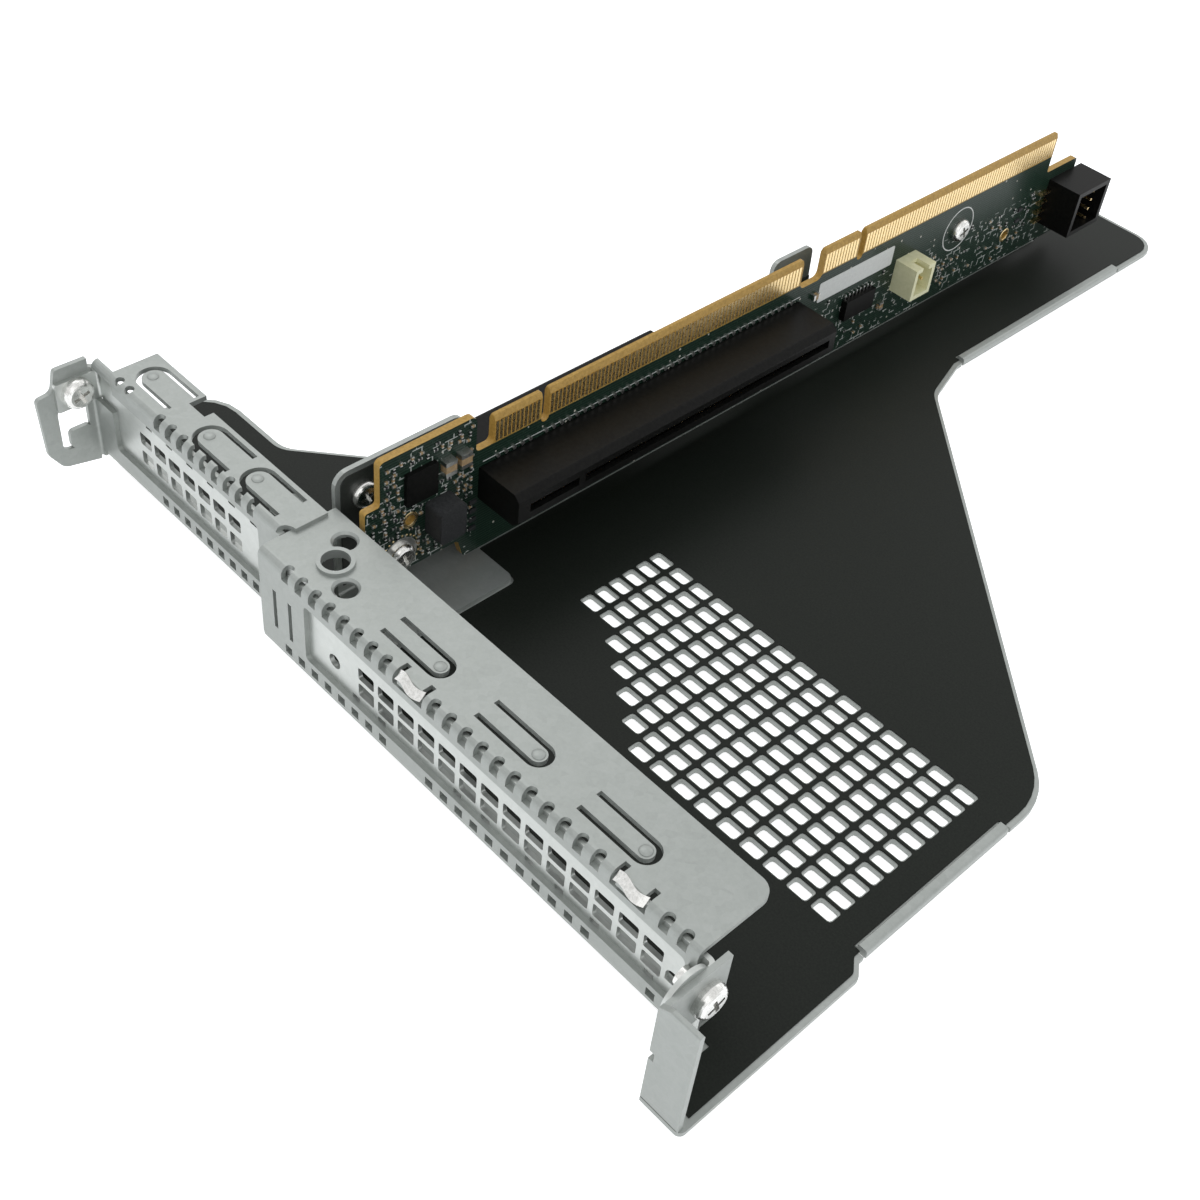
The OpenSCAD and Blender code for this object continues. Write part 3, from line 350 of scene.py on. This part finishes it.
# %% Films and plastics
film = grained("insulating_film", (0.008, 0.01, 0.008), (0.015, 0.018, 0.014), 0.0, 0.42,
               2600.0, 0.35, shine=0.14)
# The wall's film is the same black film as on the plate. Its higher specular is real shine, but its
# lighter base colour is painted sheen: it stands in for the light that the upright film catches.
wall_film = grained("wall_film_painted_sheen", (0.03, 0.034, 0.03), (0.05, 0.055, 0.048), 0.0, 0.36,
                    2600.0, 0.3)
black_plastic = grained("moulded_black", (0.003, 0.003, 0.003), (0.008, 0.008, 0.007), 0.0, 0.38,
                        1500.0, 0.12, shine=0.1)
cream_plastic = grained("moulded_cream", (0.7, 0.69, 0.42), (0.8, 0.78, 0.52), 0.0, 0.42,
                        900.0, 0.1)
dark_ferrite = grained("pressed_ferrite", (0.02, 0.021, 0.022), (0.045, 0.046, 0.047), 0.0, 0.5,
                       2400.0, 0.4, shine=0.25)
ceramic = grained("fired_ceramic", (0.3, 0.2, 0.1), (0.42, 0.3, 0.17), 0.0, 0.4, 1200.0, 0.1)
tin = grained("tinned_end", (0.6, 0.6, 0.58), (0.78, 0.78, 0.76), 1.0, 0.3, 2000.0, 0.2)
paper = grained("bare_label", (0.62, 0.63, 0.6), (0.7, 0.71, 0.68), 0.0, 0.5, 1400.0, 0.1)
gold = grained("gold_plate", (0.78, 0.58, 0.28), (0.95, 0.75, 0.42), 1.0, 0.28, 1200.0, 0.1)
print("finishes so far:", len(bpy.data.materials))

# %% [markdown]
# ## Printed circuit board
# A board is a sandwich: glossy dark green mask on both faces, and tan laminate on its cut
# edges. The mask follows the way a face points: along X it is mask, and anywhere else it is a
# cut edge. Under the mask run copper traces, and tiny tinned vias dot it.

# %% Board material
contacts_z, tongue_y = 29.0 * MM, -0.5 * MM
line_z = (25.75 * MM, 26.0 * MM)
line_y = (-2.5 * MM, 86.0 * MM)
front_end_y, rear_end_y, rear_end_z = -4.6 * MM, 90.0 * MM, 20.0 * MM

board_mask, tree, shader, coords = new_material("solder_mask", 0.0, 0.28)
shader.inputs["Specular IOR Level"].default_value = 0.2
geometry = tree.nodes.new("ShaderNodeNewGeometry")
normal_axes = tree.nodes.new("ShaderNodeSeparateXYZ")
tree.links.new(geometry.outputs["True Normal"], normal_axes.inputs[0])
facing = math_node(tree, "ABSOLUTE", normal_axes.outputs["X"], 0.0)
faces_out = math_node(tree, "GREATER_THAN", facing, 0.8)

place = tree.nodes.new("ShaderNodeSeparateXYZ")
tree.links.new(coords, place.inputs[0])

# No mask covers the tongues: between their contacts the laminate is bare
above = math_node(tree, "GREATER_THAN", place.outputs["Z"], contacts_z)
behind = math_node(tree, "GREATER_THAN", place.outputs["Y"], tongue_y)
masked = math_node(tree, "SUBTRACT", 1.0, math_node(tree, "MULTIPLY", above, behind))
is_face = math_node(tree, "MULTIPLY", faces_out, masked)

traces = tree.nodes.new("ShaderNodeTexBrick")
traces.inputs["Scale"].default_value = 260.0
traces.inputs["Mortar Size"].default_value = 0.035
traces.inputs["Row Height"].default_value = 0.16
traces.inputs["Brick Width"].default_value = 1.9
traces.inputs["Color1"].default_value = (0, 0, 0, 1)
traces.inputs["Color2"].default_value = (0, 0, 0, 1)
traces.inputs["Mortar"].default_value = (1, 1, 1, 1)
flat = tree.nodes.new("ShaderNodeCombineXYZ")
tree.links.new(place.outputs["Y"], flat.inputs["X"])
tree.links.new(place.outputs["Z"], flat.inputs["Y"])
tree.links.new(flat.outputs[0], traces.inputs["Vector"])

via_cells = tree.nodes.new("ShaderNodeTexVoronoi")
via_cells.inputs["Scale"].default_value = 620.0
via_cells.inputs["Randomness"].default_value = 0.75
tree.links.new(flat.outputs[0], via_cells.inputs["Vector"])
via_dot = math_node(tree, "LESS_THAN", via_cells.outputs["Distance"], 0.16)
via_pick = tree.nodes.new("ShaderNodeRGBToBW")
tree.links.new(via_cells.outputs["Color"], via_pick.inputs[0])
via_chosen = math_node(tree, "GREATER_THAN", via_pick.outputs[0], 0.62)
vias = math_node(tree, "MULTIPLY", via_dot, via_chosen)

# The printed line above the socket
line_low = math_node(tree, "GREATER_THAN", place.outputs["Z"], line_z[0])
line_high = math_node(tree, "LESS_THAN", place.outputs["Z"], line_z[1])
line_from = math_node(tree, "GREATER_THAN", place.outputs["Y"], line_y[0])
line_to = math_node(tree, "LESS_THAN", place.outputs["Y"], line_y[1])
line = math_node(tree, "MULTIPLY", math_node(tree, "MULTIPLY", line_low, line_high),
                 math_node(tree, "MULTIPLY", line_from, line_to))

# Printed outlines round the small parts, broken up by a noise
outlines = tree.nodes.new("ShaderNodeTexBrick")
outlines.inputs["Scale"].default_value = 330.0
outlines.inputs["Mortar Size"].default_value = 0.04
outlines.inputs["Row Height"].default_value = 0.55
outlines.inputs["Brick Width"].default_value = 0.8
tree.links.new(flat.outputs[0], outlines.inputs["Vector"])
breaks = tree.nodes.new("ShaderNodeTexNoise")
breaks.inputs["Scale"].default_value = 450.0
tree.links.new(flat.outputs[0], breaks.inputs["Vector"])
kept = math_node(tree, "GREATER_THAN", breaks.outputs["Fac"], 0.54)
front_end = math_node(tree, "LESS_THAN", place.outputs["Y"], front_end_y)
rear_end = math_node(tree, "MULTIPLY",
                     math_node(tree, "GREATER_THAN", place.outputs["Y"], rear_end_y),
                     math_node(tree, "LESS_THAN", place.outputs["Z"], rear_end_z))
printed = math_node(tree, "MULTIPLY", math_node(tree, "MULTIPLY", outlines.outputs["Fac"], kept),
                    math_node(tree, "MAXIMUM", front_end, rear_end))

def mix_colour(tree, factor, a, b):
    """Mixes two colours or colour sockets by a factor socket."""
    node = tree.nodes.new("ShaderNodeMix")
    node.data_type = "RGBA"
    tree.links.new(factor, node.inputs[0])
    for socket, value in ((node.inputs[6], a), (node.inputs[7], b)):
        if hasattr(value, "is_linked"):
            tree.links.new(value, socket)
        else:
            socket.default_value = (*value, 1)
    return node.outputs[2]


mask_colour = mix_colour(tree, traces.outputs["Color"], (0.008, 0.02, 0.013), (0.02, 0.042, 0.028))
mask_colour = mix_colour(tree, vias, mask_colour, (0.55, 0.53, 0.46))
mask_colour = mix_colour(tree, printed, mask_colour, (0.45, 0.47, 0.44))
mask_colour = mix_colour(tree, line, mask_colour, (0.55, 0.57, 0.54))
laminate_grain = add_group(tree, grain_group, coords, Scale=1600.0, Contrast=1.0)
laminate = ramp(tree, laminate_grain.outputs["Tone"],
                [(0.3, (0.36, 0.21, 0.045)), (0.7, (0.52, 0.32, 0.08))])
tree.links.new(mix_colour(tree, is_face, laminate, mask_colour), shader.inputs["Base Color"])
relief = math_node(tree, "MULTIPLY", math_node(tree, "ADD", traces.outputs["Fac"], vias), is_face)
add_bump(tree, shader, relief, 0.4, 0.03 * MM)
print("board finish:", len(tree.nodes), "nodes")

# %% [markdown]
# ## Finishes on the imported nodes
# Every CAD node keeps its mesh and gets its finish here.

# %% Assign finishes
finish_of = {
    "cage_plate": zinc, "fh_bulkhead": zinc, "lp_bulkhead": zinc, "riser_wall": zinc,
    "fh_slot_cover": cover_steel, "lp_slot_cover": cover_steel,
    # The wall film's finish has a lighter base colour that is painted sheen.
    "insulating_film": film, "wall_film": wall_film,
    "fh_cover_screw": screw_steel, "lp_cover_screw": screw_steel, "board_screws": screw_steel,
    "wall_screw": screw_steel, "board_standoffs": screw_steel,
    "riser_board": board_mask, "edge_contacts": gold, "blank_label": paper,
    "x16_socket_housing": black_plastic, "rear_socket_housing": black_plastic,
    "x16_socket_contacts": gold, "rear_socket_contacts": gold, "x16_solder_tails": tin,
    "power_header": black_plastic, "power_header_pins": gold,
    "sense_header": cream_plastic, "sense_header_pins": gold,
    "power_inductor": dark_ferrite, "controller_ic": black_plastic,
    "ceramic_capacitors": ceramic, "chip_parts": dark_ferrite,
    "soic_body": black_plastic, "soic_leads": tin,
}
for name, node in frame["nodes"].items():
    node.data.materials.clear()
    node.data.materials.append(finish_of[name])
print("finished", len(finish_of), "nodes")

# %% [markdown]
# ## Contact springs
# In two places on the full-height bulkhead a thin spring arches out over the upper bend and
# presses on the neighbouring metal. It is a narrow strip bowed into an arc: a plane, subdivided
# along its length, bowed by a sine, given thickness and turned to face out of the bend.

# %% Contact springs
def spring_strip(name, centre_x, front, top, width=6.4, across=1.9, bow=0.9):
    """A strip that lies on the upper bend and bows out of it."""
    deselect_all()
    bpy.ops.mesh.primitive_plane_add(size=1.0, location=(0, 0, 0))
    strip = bpy.context.object
    strip.name = name
    strip.scale = (width * MM, across * MM, 1)
    apply_place(strip)
    bpy.ops.object.mode_set(mode="EDIT")
    bpy.ops.mesh.select_all(action="SELECT")
    bpy.ops.mesh.subdivide(number_cuts=13)
    bpy.ops.object.mode_set(mode="OBJECT")
    for vertex in strip.data.vertices:
        along = vertex.co.x / (width * MM) + 0.5
        vertex.co.z += bow * MM * math.sin(math.pi * along)
        vertex.co.y += 0.35 * MM * math.sin(2 * math.pi * along)
    thick = strip.modifiers.new("thickness", "SOLIDIFY")
    thick.thickness = 0.2 * MM
    only(strip)
    bpy.ops.object.modifier_apply(modifier=thick.name)
    strip.rotation_euler = (math.radians(45), 0, 0)
    strip.location = (centre_x * MM, (front + 0.7) * MM, (top - 0.7) * MM)
    return finish_piece(strip, screw_steel)


fh_front, fh_top = -47.3, 25.1
lp_top = 25.9
for index, x in enumerate((33.7, 84.6)):
    spring_strip("contact_spring_%d" % (index + 1), x, fh_front, fh_top)

# %% [markdown]
# ## Film on the front post
# The black film climbs the wall's front post behind the board, almost to its rounded top. A
# plane gets its corners rounded by a vertex bevel, and then a sheet's thickness.

# %% Post film
deselect_all()
bpy.ops.mesh.primitive_plane_add(size=1.0, location=(0, 0, 0))
post_film = bpy.context.object
post_film.name = "post_film"
post_film.rotation_euler = (0, math.radians(90), 0)
only(post_film)
bpy.ops.object.transform_apply(location=False, rotation=True, scale=False)
post_film.scale = (1, 27.6 * MM, 10.3 * MM)
apply_place(post_film)
bpy.ops.object.mode_set(mode="EDIT")
bpy.ops.mesh.select_all(action="SELECT")
bpy.ops.mesh.bevel(affect="VERTICES", offset=2.0 * MM, segments=5)
bpy.ops.object.mode_set(mode="OBJECT")
sheet = post_film.modifiers.new("sheet", "SOLIDIFY")
sheet.thickness = 0.18 * MM
sheet.offset = 0.0
only(post_film)
bpy.ops.object.modifier_apply(modifier=sheet.name)
post_film.location = (-7.91 * MM, -15.1 * MM, 24.75 * MM)
# The post film takes the wall film's finish, whose lighter base colour is painted sheen.
finish_piece(post_film, wall_film)

# %% [markdown]
# ## Dimples
# Each tongue that a U slot frees in the flanges ends in a small pressed dimple. A low dome is
# a sphere flattened to a tenth; the hidden half goes.

# %% Dimples
def dimple_field(name, sites, z, radius=1.15, height=0.45):
    """Low pressed domes at (x, y) sites on a face at height z."""
    deselect_all()
    bpy.ops.mesh.primitive_uv_sphere_add(segments=24, ring_count=12, radius=1.0, location=(0, 0, 0))
    dome = bpy.context.object
    bpy.ops.object.mode_set(mode="EDIT")
    bpy.ops.mesh.select_all(action="SELECT")
    bpy.ops.mesh.bisect(plane_co=(0, 0, -0.05), plane_no=(0, 0, 1), clear_inner=True, use_fill=True)
    bpy.ops.object.mode_set(mode="OBJECT")
    dome.scale = (radius * MM, radius * MM, height * MM)
    apply_place(dome)
    domes = copy_to(dome, [((x * MM, y * MM, z * MM), (0, 0, 0)) for x, y in sites])
    bpy.data.objects.remove(dome)
    return finish_piece(join_all(domes, name), zinc)


dimple_field("fh_tongue_dimples", [(34.0 + i * 23.75, -40.6) for i in range(3)], fh_top)
dimple_field("lp_tongue_dimples", [(-56.8, -35.8), (-35.8, -37.4), (-20.8, -37.4)], lp_top)

# %% [markdown]
# ## Small parts on the board
# The board's front end is crowded with chip resistors and capacitors smaller than a grain of
# rice. Each is a tiny dark or tan block between two tinned ends. One of each kind is modelled
# with rounded edges, then copied over fields by a seeded random walk, so that every run gives
# the same board.

# %% Chip template
def chip_part(length, width, height, body):
    """One chip part lying on the +X face: body in the middle, tinned caps at both ends."""
    pieces = []
    cap = length * 0.24
    spans = [(-length / 2, -length / 2 + cap, tin), (-length / 2 + cap, length / 2 - cap, body),
             (length / 2 - cap, length / 2, tin)]
    for low, high, material in spans:
        deselect_all()
        bpy.ops.mesh.primitive_cube_add(size=1.0, location=(0, 0, 0))
        block = bpy.context.object
        grow = 1.0 if material is tin else 0.94
        block.scale = (height * grow * MM, (high - low) * MM, width * grow * MM)
        block.location = (height * grow / 2 * MM, (low + high) / 2 * MM, 0)
        apply_place(block)
        bpy.ops.object.mode_set(mode="EDIT")
        bpy.ops.mesh.select_all(action="SELECT")
        bpy.ops.mesh.bevel(offset=0.04 * MM, segments=1)
        bpy.ops.object.mode_set(mode="OBJECT")
        block.data.materials.append(material)
        pieces.append(block)
    return join_all(pieces, "chip_template")


def chip_field(name, body, size, spots):
    """Copies of one chip at (y, z, turned) spots on the board's front face."""
    template = chip_part(*size, body)
    copies = copy_to(template, [((0, y * MM, z * MM), (math.radians(90) if turned else 0, 0, 0))
                                for y, z, turned in spots])
    bpy.data.objects.remove(template)
    field = join_all(copies, name)
    apply_place(field)
    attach(field, "root")
    print(name, len(field.data.polygons), "faces")
    return field


def scatter(seed, count, y_range, z_range, gap, keep_out):
    """Seeded spots on a fine grid, clear of each other and of the keep-out boxes."""
    rng = random.Random(seed)
    spots = []
    tries = 0
    while len(spots) < count and tries < count * 60:
        tries += 1
        y = round(rng.uniform(*y_range) / 0.25) * 0.25
        z = round(rng.uniform(*z_range) / 0.25) * 0.25
        if any(a <= y <= b and c <= z <= d for a, b, c, d in keep_out):
            continue
        if all(abs(y - s[0]) > gap or abs(z - s[1]) > gap * 0.75 for s in spots):
            spots.append((y, z, rng.random() < 0.45))
    return spots


# %% Chip fields
front_keep_out = [(-22.0, -12.6, 24.0, 33.5), (-17.2, -8.8, 14.4, 24.4), (-25.8, -17.8, 9.5, 17.6),
                  (-21.4, -17.4, 18.8, 23.0), (-13.8, -5.8, 26.8, 32.8), (-9.4, -5.6, 10.6, 19.0),
                  (-30.0, -25.4, 27.0, 38.0)]
front_spots = scatter(7, 110, (-28.4, -5.4), (10.6, 35.8), 1.25, front_keep_out)
chip_field("front_chip_resistors", dark_ferrite, (1.0, 0.5, 0.35), front_spots[0::2])
chip_field("front_chip_capacitors", ceramic, (1.0, 0.5, 0.45), front_spots[1::2])
rear_keep_out = [(91.8, 118.6, 21.0, 27.2), (101.0, 113.0, 12.0, 20.2), (119.0, 128.0, 13.0, 23.0),
                 (137.6, 148.6, 15.8, 27.0), (163.6, 167.6, 9.5, 13.5)]
rear_spots = scatter(11, 60, (88.0, 175.0), (6.5, 20.5), 1.5, rear_keep_out)
chip_field("rear_chip_resistors", dark_ferrite, (1.0, 0.5, 0.35), rear_spots[0::2])
chip_field("rear_chip_capacitors", ceramic, (1.0, 0.5, 0.45), rear_spots[1::2])

# %% [markdown]
# ## Rings on the board
# The front screw sits on a bare ring of tinned copper, round which small plated holes tie it to
# the ground layers. A printed ring marks the room the rear screw needs, and the tooling holes
# are lined with gold. Each ring is a torus pressed almost flat.

# %% Solder rings
def solder_ring(name, y, z, inner, outer, material):
    """A thin tinned ring on the front face."""
    deselect_all()
    bpy.ops.mesh.primitive_torus_add(major_segments=40, minor_segments=8,
                                     major_radius=(inner + outer) / 2 * MM,
                                     minor_radius=(outer - inner) / 2 * MM, location=(0, 0, 0),
                                     rotation=(0, math.radians(90), 0))
    ring = bpy.context.object
    ring.name = name
    only(ring)
    bpy.ops.object.transform_apply(location=False, rotation=True, scale=False)
    ring.scale = (0.06 / ((outer - inner) / 2), 1, 1)
    ring.location = (0.02 * MM, y * MM, z * MM)
    return finish_piece(ring, material)


solder_ring("front_ground_ring", -21.8, 13.6, 2.4, 3.9, tin)
solder_ring("rear_printed_ring", 143.1, 21.5, 5.3, 5.6, paper)
solder_ring("front_tooling_ring", -19.5, 20.9, 1.1, 1.8, gold)
solder_ring("rear_tooling_ring", 165.6, 11.5, 1.1, 1.8, gold)

# %% Ring of plated holes
def dot_ring(name, y, z, radius, count, dot):
    """Small plated holes in a ring on the front face."""
    deselect_all()
    bpy.ops.mesh.primitive_uv_sphere_add(segments=12, ring_count=6, radius=dot * MM,
                                         location=(0, 0, 0))
    template = bpy.context.object
    template.scale = (0.3, 1, 1)
    apply_place(template)
    places = []
    for index in range(count):
        turn = 2 * math.pi * index / count
        places.append(((0.02 * MM, (y + radius * math.cos(turn)) * MM,
                        (z + radius * math.sin(turn)) * MM), (0, 0, 0)))
    dots = copy_to(template, places)
    bpy.data.objects.remove(template)
    return finish_piece(join_all(dots, name), gold)


dot_ring("front_plated_holes", -21.8, 13.6, 4.35, 26, 0.24)

# %% [markdown]
# ## Capacitor ends
# A ceramic capacitor has tinned metal wrapped over both ends. The solids are whole blocks, so
# the ends go over them as thin caps.

# %% Capacitor ends
def end_caps(name, blocks, share=0.26, skin=0.03):
    """Tinned caps over the ends of (y, z, width, length, height) blocks, along the long side."""
    caps = []
    for y, z, width, length, height in blocks:
        upright = length > width
        cap = share * max(width, length)
        for start in (0.0, max(width, length) - cap):
            size = (width, cap) if upright else (cap, length)
            corner = (y, z + start) if upright else (y + start, z)
            deselect_all()
            bpy.ops.mesh.primitive_cube_add(size=1.0, location=(0, 0, 0))
            block = bpy.context.object
            block.scale = ((height + skin) * MM, (size[0] + 2 * skin) * MM,
                           (size[1] + 2 * skin) * MM)
            block.location = ((height + skin) / 2 * MM, (corner[0] + size[0] / 2) * MM,
                              (corner[1] + size[1] / 2) * MM)
            apply_place(block)
            caps.append(block)
    return finish_piece(join_all(caps, name), tin)


end_caps("capacitor_ends", [(-12.6, 28.2, 2.5, 3.2, 1.6), (-9.0, 28.2, 2.5, 3.2, 1.6),
                            (-8.4, 12.0, 1.6, 1.2, 0.9), (-8.4, 14.6, 1.6, 1.2, 0.9),
                            (-8.4, 17.2, 1.6, 1.2, 0.9), (90.0, 23.6, 2.0, 1.25, 0.9),
                            (116.4, 10.2, 1.25, 2.0, 0.9)])

# %% [markdown]
# ## Floor
# The floor lies just under the plate. The camera sees it as plain white where it is lit, and it
# keeps the bracket's soft shadow.

# %% Floor
deselect_all()
bpy.ops.mesh.primitive_plane_add(size=6.0, location=(0, 0, -0.0002))
floor = bpy.context.object
floor.name = "floor"
floor_material, tree, shader, coords = new_material("pale_floor", 0.0, 0.9)
shader.inputs["Base Color"].default_value = (0.9, 0.9, 0.9, 1)
lift = tree.nodes.new("ShaderNodeLightPath")
shader.inputs["Emission Color"].default_value = (1, 1, 1, 1)
seen = math_node(tree, "MAXIMUM", lift.outputs["Is Camera Ray"], lift.outputs["Is Glossy Ray"])
tree.links.new(math_node(tree, "MULTIPLY", seen, 0.7), shader.inputs["Emission Strength"])
floor.data.materials.append(floor_material)
